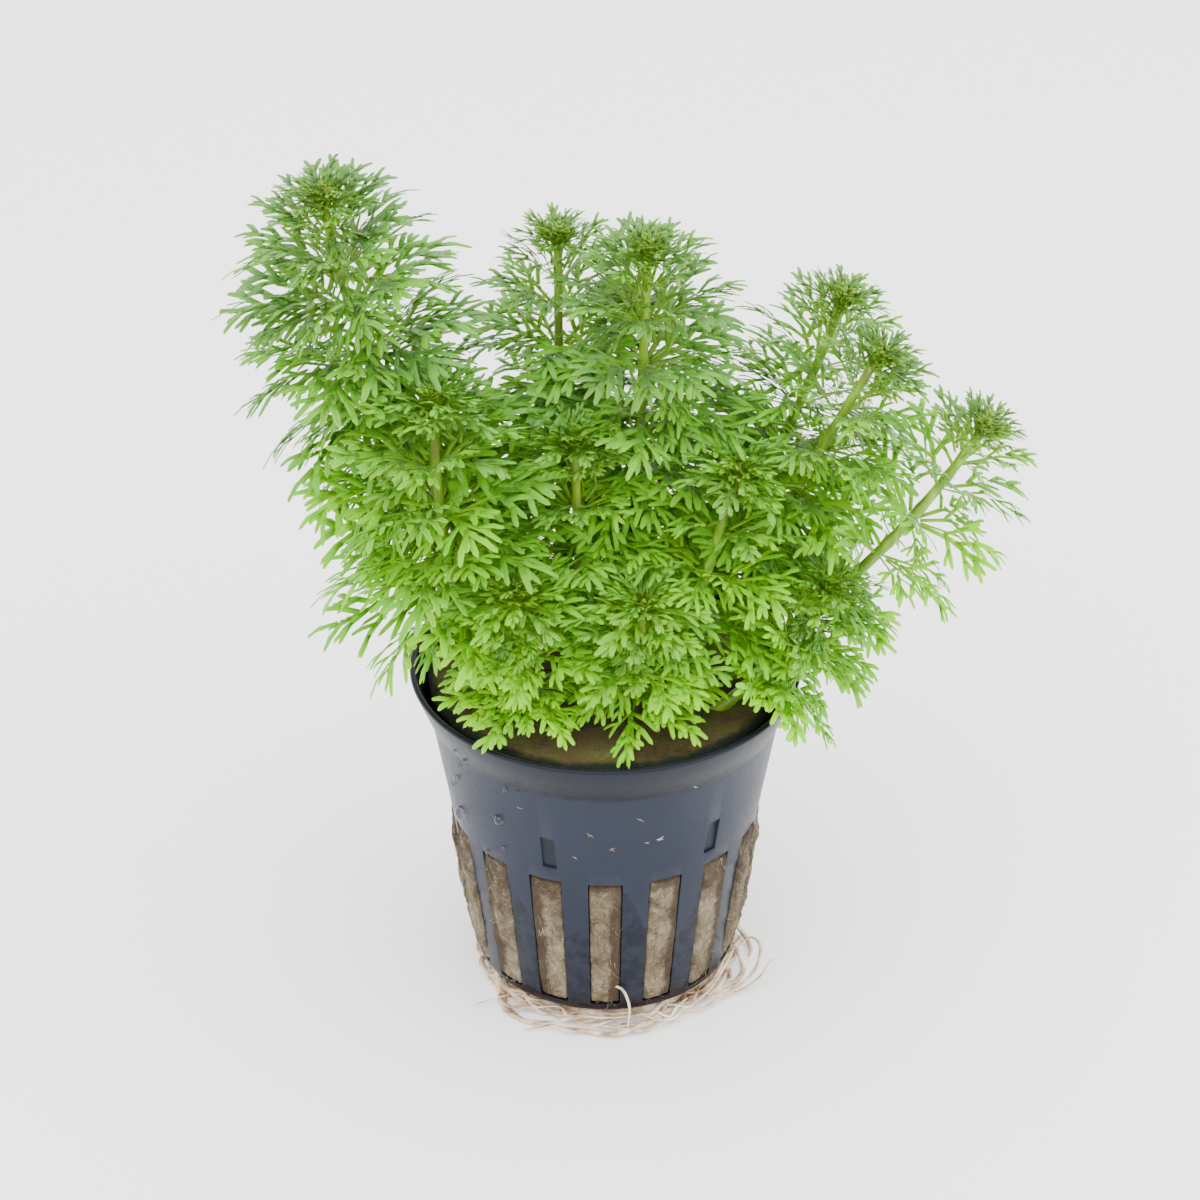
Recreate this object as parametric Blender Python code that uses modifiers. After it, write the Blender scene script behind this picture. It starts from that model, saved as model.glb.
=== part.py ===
"""Potted dwarf ambulia: a slotted net pot, a rockwool plug, a root mat and thirteen leafy shoots.

Metres, +Z up. The origin is the centre of the flat underside of the root mat, on which the pot
stands, and the front of the pot faces -Y.
"""
from collections import namedtuple
from math import atan2, cos, pi, radians, sin

import bmesh
import bpy
from mathutils import Matrix, Quaternion, Vector
from mathutils.bvhtree import BVHTree

MM = 0.001
GAP = 0.3 * MM

# Root mat, pressed flat between the pot and what it stands on
MAT_THICKNESS = 2.0 * MM
MAT_RADIUS = 21.0 * MM
MAT_WAVE = 1.1 * MM
MAT_WIDEST = 0.9 * MM
MAT_EDGE_TAPER = 0.7 * MM
MAT_SIDES = 32

# Net pot, heights measured from its own underside
POT_FOOT = MAT_THICKNESS + GAP
POT_WALL = 1.0 * MM
POT_FLOOR = 1.3 * MM
BASE_RADIUS = 18.9 * MM
BASE_ROUNDING = 1.0 * MM
SLOT_BOTTOM = 1.7 * MM
SLOT_TOP = 25.0 * MM
SLOT_TOP_RADIUS = 22.1 * MM
SLOT_COUNT = 16
SLOT_WIDTH_BOTTOM = 4.1 * MM
SLOT_WIDTH_TOP = 4.9 * MM
RIDGE_HEIGHT = 41.3 * MM
RIDGE_RADIUS = 24.8 * MM
RIDGE_STEP = 0.35 * MM
RIM_HEIGHT = 47.9 * MM
RIM_RADIUS = 27.5 * MM
RIM_ROUNDING = 0.3 * MM
POT_STEPS = 48
NOTCH_COUNT = 6
NOTCH_FIRST = radians(-19.5)
NOTCH_WIDTH = 1.8 * MM
NOTCH_DEPTH = 0.5 * MM
NOTCH_BOTTOM = 27.5 * MM
NOTCH_TOP = 33.0 * MM
DRAIN_COUNT = 6
DRAIN_WIDTH = 2.6 * MM
DRAIN_INNER = 6.0 * MM
DRAIN_OUTER = 14.0 * MM

# Rockwool plug, heights measured from the pot's underside
PLUG_BOTTOM = POT_FLOOR + GAP
PLUG_TOP = 46.8 * MM
PLUG_CLEARANCE = 0.4 * MM
PLUG_EDGE_ROUNDING = 0.8 * MM
PLUG_BULGE_FRONT = 1.3 * MM
PLUG_BULGE_SIDES = 2.2 * MM
PLUG_BULGE_EDGES = tuple(radians(a) for a in (-6.2, -3.5, 3.5, 6.2))

# Stems and their leaves
STEM_RADIUS = 0.95 * MM
STEM_DEPTH = 6.0 * MM
STEM_TOP_SHARE = 0.8
STEM_BENDS = 5
COURSE_STEPS = 1000
STEM_SIDES = 6
BUD_HEIGHT = 1.4 * MM
BUD_TOP_SHARE = 0.25
LEAVES_PER_WHORL = 7
COLLAR_CLEARANCE = 0.4 * MM
COLLAR_HEIGHT = 1.2 * MM
COLLAR_THICKNESS = 0.5 * MM
BLADE_HALF_WIDTH = 1.8 * MM
BLADE_HALF_THICKNESS = 0.28 * MM
BLADE_WIDEST = 0.55
# Leaves of one ring touch at their feet, and are kept apart from this share of their width on
BLADES_PART_FROM = 0.5
CROWN_LEAF_LENGTH = 5.5 * MM
CROWN_HALF_WIDTH = 0.8 * MM
CROWN_ANGLE = radians(62)
# From the growing tip down: distance to each whorl, its share of the shoot's full leaf length,
# and how far its leaves rise above the plane square to the stem
WHORL_DISTANCES = (4.2 * MM, 9.2 * MM, 15.5 * MM, 22.5 * MM, 30.0 * MM, 37.5 * MM)
WHORL_LENGTHS = (0.56, 0.78, 0.92, 1.0, 1.0, 0.96)
WHORL_ANGLES = tuple(radians(a) for a in (46, 32, 22, 13, 6, 0))
LEAF_DROOP = radians(20)
# What a leaf tries, in this order, to keep clear of its neighbours
LENGTH_TRIES = (1.0, 0.85, 0.7, 0.55)
SIDE_TRIES = tuple(radians(a) for a in (0, 7, -7, 13, -13))
RISE_TRIES = tuple(radians(a) for a in (0, 8, -8, 16, -16, 26, -26))

# The shoots in millimetres: foot (x, y) on the plug, growing tip (x, y, z), bend as the share of
# the way out and up at which the stem turns, number of whorls, full leaf length, and how far
# all the leaves are lifted in degrees
Shoot = namedtuple("Shoot", "foot tip bend whorls leaf_length lift")
SHOOTS = (
    Shoot((-11, 5), (-37, 8, 117), (0.94, 0.66), 6, 18.0, 0),
    Shoot((-6, 10), (-6.5, 15, 108), (0.6, 0.5), 3, 14.5, 0),
    Shoot((3, 5), (5.6, 6, 110), (0.6, 0.5), 5, 17.0, 0),
    Shoot((1, 14), (2.4, 17, 97), (0.6, 0.5), 0, 14.0, 0),
    Shoot((11, 9), (32, 13, 99.5), (0.73, 0.63), 3, 15.5, 0),
    Shoot((14, 3), (36, 1, 97), (0.62, 0.67), 3, 14.5, 0),
    Shoot((17, -3), (50.5, 0, 87), (0.68, 0.49), 4, 15.5, 0),
    Shoot((-16, -4), (-22.5, -5, 94), (1.2, 0.47), 5, 19.0, 0),
    Shoot((-3, -3), (-4.1, -4, 87), (0.6, 0.5), 3, 14.5, 0),
    Shoot((10, -5), (17.7, -6, 84), (0.45, 0.55), 3, 15.5, 0),
    Shoot((-9, -12), (-11.7, -15, 70), (0.7, 0.5), 3, 17.0, -14),
    Shoot((3, -12), (5, -16, 69), (0.7, 0.5), 3, 17.0, -14),
    Shoot((16, -10), (30, -8, 67), (0.7, 0.45), 3, 18.0, -14),
)


def clear_scene():
    """Remove every object of the open file."""
    for obj in list(bpy.data.objects):
        bpy.data.objects.remove(obj, do_unlink=True)


def make_collection(name):
    """Add a collection to the scene."""
    collection = bpy.data.collections.new(name)
    bpy.context.scene.collection.children.link(collection)
    return collection


def make_material(name, colour, roughness):
    """A plain Principled material."""
    material = bpy.data.materials.new(name)
    material.use_nodes = True
    shader = material.node_tree.nodes["Principled BSDF"]
    shader.inputs["Base Color"].default_value = (*colour, 1.0)
    shader.inputs["Roughness"].default_value = roughness
    shader.inputs["Metallic"].default_value = 0.0
    return material


def add_object(name, mesh, collection, material=None):
    """Put a mesh in the scene as a named object."""
    obj = bpy.data.objects.new(name, mesh)
    collection.objects.link(obj)
    if material:
        mesh.materials.append(material)
    return obj


def mesh_from_bmesh(name, bm):
    """Finish a bmesh: faces outwards, flat triangles."""
    bmesh.ops.recalc_face_normals(bm, faces=bm.faces)
    bmesh.ops.triangulate(bm, faces=bm.faces)
    mesh = bpy.data.meshes.new(name)
    bm.to_mesh(mesh)
    bm.free()
    return mesh


def cut_away(obj, cutter):
    """Take the cutter out of the object."""
    cutter.hide_render = True
    cutter.display_type = "WIRE"
    boolean = obj.modifiers.new("Cut", "BOOLEAN")
    boolean.operation = "DIFFERENCE"
    boolean.solver = "EXACT"
    boolean.object = cutter


def around(radius, angle, height):
    """A point on a circle about the pot's axis; angle 0 faces the front, -Y."""
    return Vector((radius * sin(angle), -radius * cos(angle), height))


def wall_radius(height):
    """Outer radius of the pot's wall below the collar, at a height above its underside."""
    if height > SLOT_TOP:
        share = (height - SLOT_TOP) / (RIDGE_HEIGHT - SLOT_TOP)
        return SLOT_TOP_RADIUS + share * (RIDGE_RADIUS - SLOT_TOP_RADIUS)
    return BASE_RADIUS + height / SLOT_TOP * (SLOT_TOP_RADIUS - BASE_RADIUS)


def screw_body(name, profile, steps, collection, material=None):
    """Turn a closed profile of (radius, height) points about the Z axis."""
    mesh = bpy.data.meshes.new(name)
    verts = [(radius, 0.0, height) for radius, height in profile]
    mesh.from_pydata(verts, [(i, i + 1) for i in range(len(verts) - 1)], [])
    obj = add_object(name, mesh, collection, material)
    screw = obj.modifiers.new("Turn", "SCREW")
    screw.steps = steps
    screw.render_steps = steps
    screw.use_merge_vertices = True
    screw.merge_threshold = 0.00001
    return obj


def pot_profile():
    """Half section of the pot, from the inside of its floor over the rim to its underside."""
    inner_rim = RIM_RADIUS - POT_WALL
    return (
        (0.0, POT_FLOOR),
        (wall_radius(POT_FLOOR) - POT_WALL, POT_FLOOR),
        (wall_radius(SLOT_TOP) - POT_WALL, SLOT_TOP),
        (RIDGE_RADIUS - POT_WALL, RIDGE_HEIGHT),
        (inner_rim, RIM_HEIGHT - RIM_ROUNDING),
        (inner_rim + RIM_ROUNDING, RIM_HEIGHT),
        (RIM_RADIUS - RIM_ROUNDING, RIM_HEIGHT),
        (RIM_RADIUS, RIM_HEIGHT - RIM_ROUNDING),
        (RIDGE_RADIUS + RIDGE_STEP, RIDGE_HEIGHT + RIDGE_STEP),
        (RIDGE_RADIUS, RIDGE_HEIGHT),
        (SLOT_TOP_RADIUS, SLOT_TOP),
        (wall_radius(2 * BASE_ROUNDING), 2 * BASE_ROUNDING),
        (BASE_RADIUS - 0.2 * BASE_ROUNDING, 0.5 * BASE_ROUNDING),
        (BASE_RADIUS - BASE_ROUNDING, 0.0),
        (0.0, 0.0),
    )


def add_box(bm, centre, size, angle, top_width=None):
    """A box with its size given as (across, radial, height), turned about the pot's axis."""
    box = bmesh.ops.create_cube(bm, size=1.0)["verts"]
    for vert in box:
        across = size[0] if vert.co.z < 0 or top_width is None else top_width
        local = Vector((vert.co.x * across, centre[0] + vert.co.y * size[1], 0))
        turned = around(local.y, angle, centre[1] + vert.co.z * size[2])
        side = Vector((cos(angle), sin(angle), 0))
        vert.co = turned + side * local.x


def make_pot(parts, cutters, material):
    """The net pot: a turned cup with wall slots, stacking notches and drain slots."""
    pot = screw_body("net_pot", pot_profile(), POT_STEPS, parts, material)
    pot.location.z = POT_FOOT
    bm = bmesh.new()
    reach = RIM_RADIUS - DRAIN_OUTER
    for slot in range(SLOT_COUNT):
        size = (SLOT_WIDTH_BOTTOM, reach, SLOT_TOP - SLOT_BOTTOM)
        centre = ((RIM_RADIUS + DRAIN_OUTER) / 2, (SLOT_TOP + SLOT_BOTTOM) / 2)
        add_box(bm, centre, size, 2 * pi * slot / SLOT_COUNT, SLOT_WIDTH_TOP)
    for notch in range(NOTCH_COUNT):
        middle = (NOTCH_TOP + NOTCH_BOTTOM) / 2
        size = (NOTCH_WIDTH, 4 * POT_WALL, NOTCH_TOP - NOTCH_BOTTOM)
        centre = (wall_radius(middle) - NOTCH_DEPTH + 2 * POT_WALL, middle)
        add_box(bm, centre, size, NOTCH_FIRST + 2 * pi * notch / NOTCH_COUNT)
    for drain in range(DRAIN_COUNT):
        size = (DRAIN_WIDTH, DRAIN_OUTER - DRAIN_INNER, 2 * POT_FLOOR)
        centre = ((DRAIN_OUTER + DRAIN_INNER) / 2, POT_FLOOR / 2)
        add_box(bm, centre, size, 2 * pi * (drain + 0.5) / DRAIN_COUNT)
    cutter = add_object("pot_openings", mesh_from_bmesh("pot_openings", bm), cutters)
    cutter.location.z = POT_FOOT
    cut_away(pot, cutter)
    return pot


def plug_radius(angle, height):
    """Radius of the rockwool: it fills the cup, and swells out through each slot."""
    filled = wall_radius(min(height, RIDGE_HEIGHT)) - POT_WALL - PLUG_CLEARANCE
    pitch = 2 * pi / SLOT_COUNT
    off_slot = abs((angle + pitch / 2) % pitch - pitch / 2)
    beside_slot = off_slot > (PLUG_BULGE_EDGES[2] + PLUG_BULGE_EDGES[3]) / 2
    if beside_slot or not SLOT_BOTTOM + GAP < height < SLOT_TOP - 2 * GAP:
        return filled
    return filled + PLUG_BULGE_FRONT + (PLUG_BULGE_SIDES - PLUG_BULGE_FRONT) * abs(sin(angle))


def grow_stack(name, angles, levels, place):
    """A solid of stacked rings: a prism whose top face is drawn up from level to level."""
    bm = bmesh.new()
    bmesh.ops.create_cone(bm, segments=len(angles), radius1=1.0, radius2=1.0, depth=1.0,
                          cap_ends=True)
    count = len(angles)
    index = {}
    for vert in bm.verts:
        index[vert] = round(atan2(vert.co.x, -vert.co.y) / (2 * pi) * count) % count
    top = max(bm.faces, key=lambda face: face.calc_center_median().z)
    bottom = min(bm.faces, key=lambda face: face.calc_center_median().z)
    for face, level in ((bottom, levels[0]), (top, levels[1])):
        for vert in face.verts:
            vert.co = place(angles[index[vert]], level)
    for level in levels[2:]:
        below = list(top.verts)
        top = bmesh.ops.extrude_discrete_faces(bm, faces=[top])["faces"][0]
        for vert in top.verts:
            source = min(below, key=lambda other: (other.co - vert.co).length)
            index[vert] = index[source]
        for vert in top.verts:
            vert.co = place(angles[index[vert]], level)
    return mesh_from_bmesh(name, bm)


def make_plug(parts, cutters, material):
    """The rockwool plug, with a hole for each stem."""
    levels = (PLUG_BOTTOM, SLOT_BOTTOM + 4 * GAP, SLOT_TOP - 5 * GAP, SLOT_TOP - GAP,
              RIDGE_HEIGHT, PLUG_TOP - PLUG_EDGE_ROUNDING, PLUG_TOP)
    pitch = 2 * pi / SLOT_COUNT
    angles = [slot * pitch + edge for slot in range(SLOT_COUNT) for edge in PLUG_BULGE_EDGES]

    def place(angle, level):
        rounding = PLUG_EDGE_ROUNDING if level == PLUG_TOP else 0.0
        return around(plug_radius(angle, level) - rounding, angle, level)

    mesh = grow_stack("rockwool_plug", angles, levels, place)
    plug = add_object("rockwool_plug", mesh, parts, material)
    plug.location.z = POT_FOOT
    bm = bmesh.new()
    for shoot in SHOOTS:
        foot, heading = stem_point(shoot, 0.0)
        turn = heading.to_track_quat("Z", "Y").to_matrix().to_4x4()
        hole = Matrix.Translation(foot) @ turn
        radius = STEM_RADIUS + COLLAR_CLEARANCE
        bmesh.ops.create_cone(bm, segments=STEM_SIDES, radius1=radius, radius2=radius,
                              depth=2 * (STEM_DEPTH + GAP), cap_ends=True, matrix=hole)
    cutter = add_object("stem_holes", mesh_from_bmesh("stem_holes", bm), cutters)
    cut_away(plug, cutter)
    return plug


def make_root_mat(parts, material):
    """The mat of roots that has spread under the foot, with a wavy edge."""
    angles = [2 * pi * side / MAT_SIDES for side in range(MAT_SIDES)]

    def place(angle, level):
        wave = 0.6 * sin(3 * angle + 0.4) + 0.45 * sin(7 * angle) + 0.3 * sin(11 * angle + 2)
        radius = MAT_RADIUS + MAT_WAVE * wave
        if level != MAT_WIDEST:
            radius -= MAT_EDGE_TAPER
        return around(radius, angle, level)

    mesh = grow_stack("root_mat", angles, (0.0, MAT_WIDEST, MAT_THICKNESS), place)
    return add_object("root_mat", mesh, parts, material)


def stem_point(shoot, share):
    """Place and direction of a stem at a share of its course from its foot to its tip."""
    foot = Vector((*shoot.foot, 0)) * MM
    foot.z = POT_FOOT + PLUG_TOP
    tip = Vector(shoot.tip) * MM
    way = tip - foot
    out, up = shoot.bend
    elbow = foot + Vector((way.x * out, way.y * out, way.z * up))
    point = foot * (1 - share) ** 2 + elbow * 2 * share * (1 - share) + tip * share ** 2
    heading = (elbow - foot) * (1 - share) + (tip - elbow) * share
    return point, heading.normalized()


def below_tip(shoot, distance):
    """Place and direction of a stem at a distance below its growing tip, along the stem."""
    share = 1.0
    point, heading = stem_point(shoot, share)
    walked = 0.0
    while walked < distance:
        share -= 1 / COURSE_STEPS
        lower, heading = stem_point(shoot, share)
        walked += (lower - point).length
        point = lower
    return point, heading


def stem_mesh(name, shoot):
    """A tapering tube from inside the plug up to the bud, its caps welded."""
    foot, heading = stem_point(shoot, 0.0)
    points = [foot - heading * STEM_DEPTH]
    points += [stem_point(shoot, bend / STEM_BENDS)[0] for bend in range(STEM_BENDS)]
    tip, heading = stem_point(shoot, 1.0)
    points += [tip - heading * COLLAR_HEIGHT, tip, tip + heading * BUD_HEIGHT]
    curve = bpy.data.curves.new(name, "CURVE")
    curve.dimensions = "3D"
    curve.bevel_depth = STEM_RADIUS
    curve.bevel_resolution = 1
    curve.use_fill_caps = True
    spline = curve.splines.new("POLY")
    spline.points.add(len(points) - 1)
    for number, point in enumerate(points):
        spline.points[number].co = (*point, 1.0)
        share = number / (len(points) - 2)
        spline.points[number].radius = 1 + (STEM_TOP_SHARE - 1) * share
    spline.points[-1].radius = BUD_TOP_SHARE
    tube = bpy.data.objects.new(name, curve)
    bpy.context.scene.collection.objects.link(tube)
    graph = bpy.context.evaluated_depsgraph_get()
    mesh = bpy.data.meshes.new_from_object(tube.evaluated_get(graph))
    bpy.data.objects.remove(tube, do_unlink=True)
    bpy.data.curves.remove(curve)
    return mesh


def solid_tree(verts, faces):
    """A search tree of a closed surface, with its middle and reach for quick sorting out."""
    middle = sum(verts, Vector()) / len(verts)
    reach = max((vert - middle).length for vert in verts)
    return middle, reach, BVHTree.FromPolygons(verts, faces)


def tree_of_bmesh(bm):
    """The search tree of a bmesh in world coordinates."""
    bm.verts.index_update()
    verts = [vert.co.copy() for vert in bm.verts]
    return solid_tree(verts, [[vert.index for vert in face.verts] for face in bm.faces])


def tree_of_object(obj):
    """The search tree of an object with its modifiers, in world coordinates."""
    evaluated = obj.evaluated_get(bpy.context.evaluated_depsgraph_get())
    mesh = evaluated.to_mesh()
    verts = [obj.matrix_world @ vert.co for vert in mesh.vertices]
    tree = solid_tree(verts, [tuple(face.vertices) for face in mesh.polygons])
    evaluated.to_mesh_clear()
    return tree


def touches(tree, others):
    """Whether a surface crosses any of the others."""
    middle, reach, surface = tree
    for other_middle, other_reach, other in others:
        if (other_middle - middle).length < other_reach + reach and surface.overlap(other):
            return True
    return False


def facing(base, heading):
    """Direction, square to the stem, in which a face of the stem or of a collar looks."""
    normal = (base[2] - base[0]).cross(base[3] - base[1])
    return (normal - heading * normal.dot(heading)).normalized()


def leaf_corners(base, heading, half_width, length, rise, turn, spare=0.0):
    """Four corners of a leaf where it is widest, in the order of its base corners, and its tip."""
    centre = sum(base, Vector()) / len(base)
    outward = facing(base, heading)
    outward.rotate(Quaternion(heading, turn))
    across = heading.cross(outward)
    first = outward * cos(rise) + heading * sin(rise)
    second = outward * cos(rise - LEAF_DROOP) + heading * sin(rise - LEAF_DROOP)
    middle = centre + first * length * BLADE_WIDEST
    tip = middle + second * (length * (1 - BLADE_WIDEST) + spare)
    upward = first.cross(across)
    old_across = heading.cross(facing(base, heading))
    corners = []
    for corner in base:
        side = 1 if (corner - centre).dot(old_across) > 0 else -1
        face = 1 if (corner - centre).dot(heading) > 0 else -1
        corners.append(middle + across * side * (half_width + spare)
                       + upward * face * (BLADE_HALF_THICKNESS + spare))
    return corners, tip


def leaf_tree(base, corners, tip, start=0.0):
    """The search tree of a leaf, from its foot or from a share of the way to its widest."""
    foot = [near.lerp(far, start) for near, far in zip(base, corners)]
    sides = [(n, (n + 1) % 4, 4 + (n + 1) % 4, 4 + n) for n in range(4)]
    sides += [(4 + n, 4 + (n + 1) % 4, 8) for n in range(4)]
    return solid_tree([*foot, *corners, tip], sides)


def settle_leaf(base, heading, half_width, length, rise, neighbours, ring):
    """The first length, rise and turn at which a leaf is clear of its neighbours and its ring."""
    for share in LENGTH_TRIES:
        for lift in RISE_TRIES:
            for turn in SIDE_TRIES:
                choice = (length * share, rise + lift, turn)
                corners, tip = leaf_corners(base, heading, half_width, *choice, spare=GAP)
                if touches(leaf_tree(base, corners, tip), neighbours):
                    continue
                if not touches(leaf_tree(base, corners, tip, BLADES_PART_FROM), ring):
                    return choice
    return None


def grow_leaves(bm, faces, heading, half_width, length, rise, neighbours):
    """Draw each face out into a leaf that widens to its middle and ends in a point."""
    ring = []
    for face in faces:
        base = [vert.co.copy() for vert in face.verts]
        choice = settle_leaf(base, heading, half_width, length, rise, neighbours, ring)
        if choice is None:
            continue
        corners, tip = leaf_corners(base, heading, half_width, *choice)
        ring.append(leaf_tree(base, corners, tip, BLADES_PART_FROM))
        blade = bmesh.ops.extrude_discrete_faces(bm, faces=[face])["faces"][0]
        for vert in blade.verts:
            nearest = min(range(4), key=lambda n: (base[n] - vert.co).length)
            vert.co = corners[nearest]
        point = bmesh.ops.poke(bm, faces=[blade])["verts"][0]
        point.co = tip


def make_stem(name, shoot, neighbours, parts, material):
    """A stem with its bud and the crown of young leaves round it, in one piece."""
    mesh = stem_mesh(name, shoot)
    bm = bmesh.new()
    bm.from_mesh(mesh)
    bpy.data.meshes.remove(mesh)
    bmesh.ops.remove_doubles(bm, verts=bm.verts, dist=0.00001)
    bmesh.ops.recalc_face_normals(bm, faces=bm.faces)
    tip, heading = stem_point(shoot, 1.0)
    collar = tip - heading * COLLAR_HEIGHT / 2
    faces = [face for face in bm.faces if len(face.verts) == 4
             and (face.calc_center_median() - collar).length < 1.5 * STEM_RADIUS
             and abs((face.calc_center_median() - collar).dot(heading)) < COLLAR_HEIGHT / 4]
    grow_leaves(bm, faces, heading, CROWN_HALF_WIDTH, CROWN_LEAF_LENGTH, CROWN_ANGLE, neighbours)
    neighbours.append(tree_of_bmesh(bm))
    return add_object(name, mesh_from_bmesh(name, bm), parts, material)


def make_whorl(name, shoot, rank, phase, neighbours, parts, material):
    """A ring of leaves: a collar round the stem with a leaf drawn out of each of its faces."""
    point, heading = below_tip(shoot, WHORL_DISTANCES[rank])
    outer = STEM_RADIUS + COLLAR_CLEARANCE + COLLAR_THICKNESS
    turn = heading.to_track_quat("Z", "Y").to_matrix().to_4x4()
    place = Matrix.Translation(point) @ turn @ Matrix.Rotation(phase, 4, "Z")
    bm = bmesh.new()
    bmesh.ops.create_cone(bm, segments=LEAVES_PER_WHORL, radius1=outer, radius2=outer,
                          depth=COLLAR_HEIGHT, cap_ends=False, matrix=place)
    bmesh.ops.solidify(bm, geom=bm.faces[:], thickness=COLLAR_THICKNESS)
    bmesh.ops.recalc_face_normals(bm, faces=bm.faces)
    faces = []
    for face in bm.faces:
        outward = face.calc_center_median() - point
        if face.normal.dot(outward.normalized()) > 0.9:
            faces.append(face)
    length = shoot.leaf_length * WHORL_LENGTHS[rank] * MM
    rise = WHORL_ANGLES[rank] + radians(shoot.lift)
    grow_leaves(bm, faces, heading, BLADE_HALF_WIDTH, length, rise, neighbours)
    neighbours.append(tree_of_bmesh(bm))
    return add_object(name, mesh_from_bmesh(name, bm), parts, material)


def build():
    """Build the pot, what fills it and what grows in it."""
    clear_scene()
    parts = make_collection("potted_dwarf_ambulia")
    cutters = make_collection("cutters")
    plastic = make_material("pot_plastic", (0.085, 0.100, 0.140), 0.38)
    rockwool = make_material("rockwool", (0.36, 0.28, 0.17), 0.95)
    roots = make_material("roots", (0.72, 0.60, 0.48), 0.8)
    stem_green = make_material("stem_green", (0.26, 0.44, 0.06), 0.45)
    leaf_green = make_material("leaf_green", (0.10, 0.34, 0.05), 0.45)
    pot = make_pot(parts, cutters, plastic)
    plug = make_plug(parts, cutters, rockwool)
    make_root_mat(parts, roots)
    bpy.context.view_layer.update()
    neighbours = [tree_of_object(pot), tree_of_object(plug)]
    crowns = []
    for number, shoot in enumerate(SHOOTS, 1):
        make_stem(f"stem_{number:02d}", shoot, crowns, parts, stem_green)
    neighbours += crowns
    for rank in range(len(WHORL_DISTANCES)):
        for number, shoot in enumerate(SHOOTS, 1):
            if rank < shoot.whorls:
                phase = number + rank * pi / LEAVES_PER_WHORL
                name = f"leaf_whorl_{number:02d}_{rank + 1}"
                make_whorl(name, shoot, rank, phase, neighbours, parts, leaf_green)


build()
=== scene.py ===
"""Potted dwarf ambulia: a slotted net pot with rockwool, roots and shoots of divided leaves."""
import math
import random
from collections import namedtuple

import bmesh
import bpy
import numpy as np
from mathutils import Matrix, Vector, noise


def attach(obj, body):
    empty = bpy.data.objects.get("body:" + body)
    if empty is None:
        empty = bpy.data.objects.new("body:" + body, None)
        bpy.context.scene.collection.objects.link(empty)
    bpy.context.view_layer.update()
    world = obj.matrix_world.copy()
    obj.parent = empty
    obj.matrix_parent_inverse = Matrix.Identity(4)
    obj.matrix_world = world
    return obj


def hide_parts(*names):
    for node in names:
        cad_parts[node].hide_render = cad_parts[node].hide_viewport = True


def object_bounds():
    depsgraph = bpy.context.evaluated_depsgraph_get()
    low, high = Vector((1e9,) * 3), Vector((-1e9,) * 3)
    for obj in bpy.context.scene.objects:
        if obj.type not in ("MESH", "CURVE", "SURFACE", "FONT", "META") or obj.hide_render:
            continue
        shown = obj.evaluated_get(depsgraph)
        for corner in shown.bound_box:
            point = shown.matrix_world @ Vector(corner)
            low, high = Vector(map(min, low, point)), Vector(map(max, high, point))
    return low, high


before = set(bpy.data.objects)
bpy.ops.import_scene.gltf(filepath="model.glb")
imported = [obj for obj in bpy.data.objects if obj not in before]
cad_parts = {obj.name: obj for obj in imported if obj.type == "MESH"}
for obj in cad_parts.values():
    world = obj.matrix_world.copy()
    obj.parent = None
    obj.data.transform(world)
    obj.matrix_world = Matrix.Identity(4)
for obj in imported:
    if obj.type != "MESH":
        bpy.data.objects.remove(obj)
cad_box = [list(corner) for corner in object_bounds()]

# The net pot is one moulded cup of slate-blue plastic, 1 mm thick. It was moulded with 16 slots
# for the roots, six shallow stacking notches and a collar that flares above a small step.
# It stands on the mat of roots; its lower ribs are wet, and the inside and top of its rim carry
# painted shade.
MM = 0.001
# Values are in millimetres and degrees where nothing else is said
POT_FOOT = 2.3
POT_STEPS = 288
FLOOR_EDGE = 15
SLOTS = 16
SLOT_PITCH = 360 / SLOTS
SLOT_HALF_ANGLE = 6.25
SLOT_LOW = 1.7
SLOT_HIGH = 25.0
NOTCH_LOW = 27.5
NOTCH_HIGH = 33.0
NOTCH_HALF_ANGLE = 2.3
NOTCH_DEPTH = 0.45
NOTCH_BEARINGS = (-20, 40, 100, 160, 220, 280)
MOULDED_EDGE = 0.13
# Half section as (radius, height), from the middle of the underside to the middle of the floor
POT_SECTION = (
    (0, 0), (17.9, 0), (18.75, 0.45), (19.05, 1.1), (19.12, SLOT_LOW), (22.1, SLOT_HIGH),
    (22.51, NOTCH_LOW), (23.42, NOTCH_HIGH), (24.8, 41.3), (25.15, 41.62), (27.42, 47.3),
    (27.5, 47.62), (27.34, 47.86), (27.05, 47.9), (26.72, 47.78), (26.5, 47.4), (23.8, 41.1),
    (21.1, SLOT_HIGH), (18.12, SLOT_LOW), (18.07, 1.3), (0, 1.3))


def draw_section(name, points, foot=0.0):
    """Draw a half section as a chain of edges, each point extruded from the last."""
    bpy.ops.object.select_all(action="DESELECT")
    bpy.ops.mesh.primitive_plane_add(size=MM)
    piece = bpy.context.object
    piece.name = name
    bpy.ops.object.mode_set(mode="EDIT")
    bpy.ops.mesh.select_mode(type="VERT")
    bpy.ops.mesh.merge(type="CENTER")
    radius, height = points[0]
    bpy.ops.transform.translate(value=(radius * MM, 0, (height + foot) * MM))
    for (radius, height), (out, up) in zip(points, points[1:]):
        step = ((out - radius) * MM, 0, (up - height) * MM)
        bpy.ops.mesh.extrude_region_move(TRANSFORM_OT_translate={"value": step})
    return piece


def turn_section(steps):
    """Spin the drawn section once round the pot's axis and close its seam and poles."""
    bpy.ops.mesh.select_all(action="SELECT")
    bpy.ops.mesh.spin(steps=steps, angle=2 * math.pi, center=(0, 0, 0), axis=(0, 0, 1))
    bpy.ops.mesh.select_all(action="SELECT")
    bpy.ops.mesh.remove_doubles(threshold=0.000005)
    bpy.ops.mesh.normals_make_consistent(inside=False)


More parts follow.
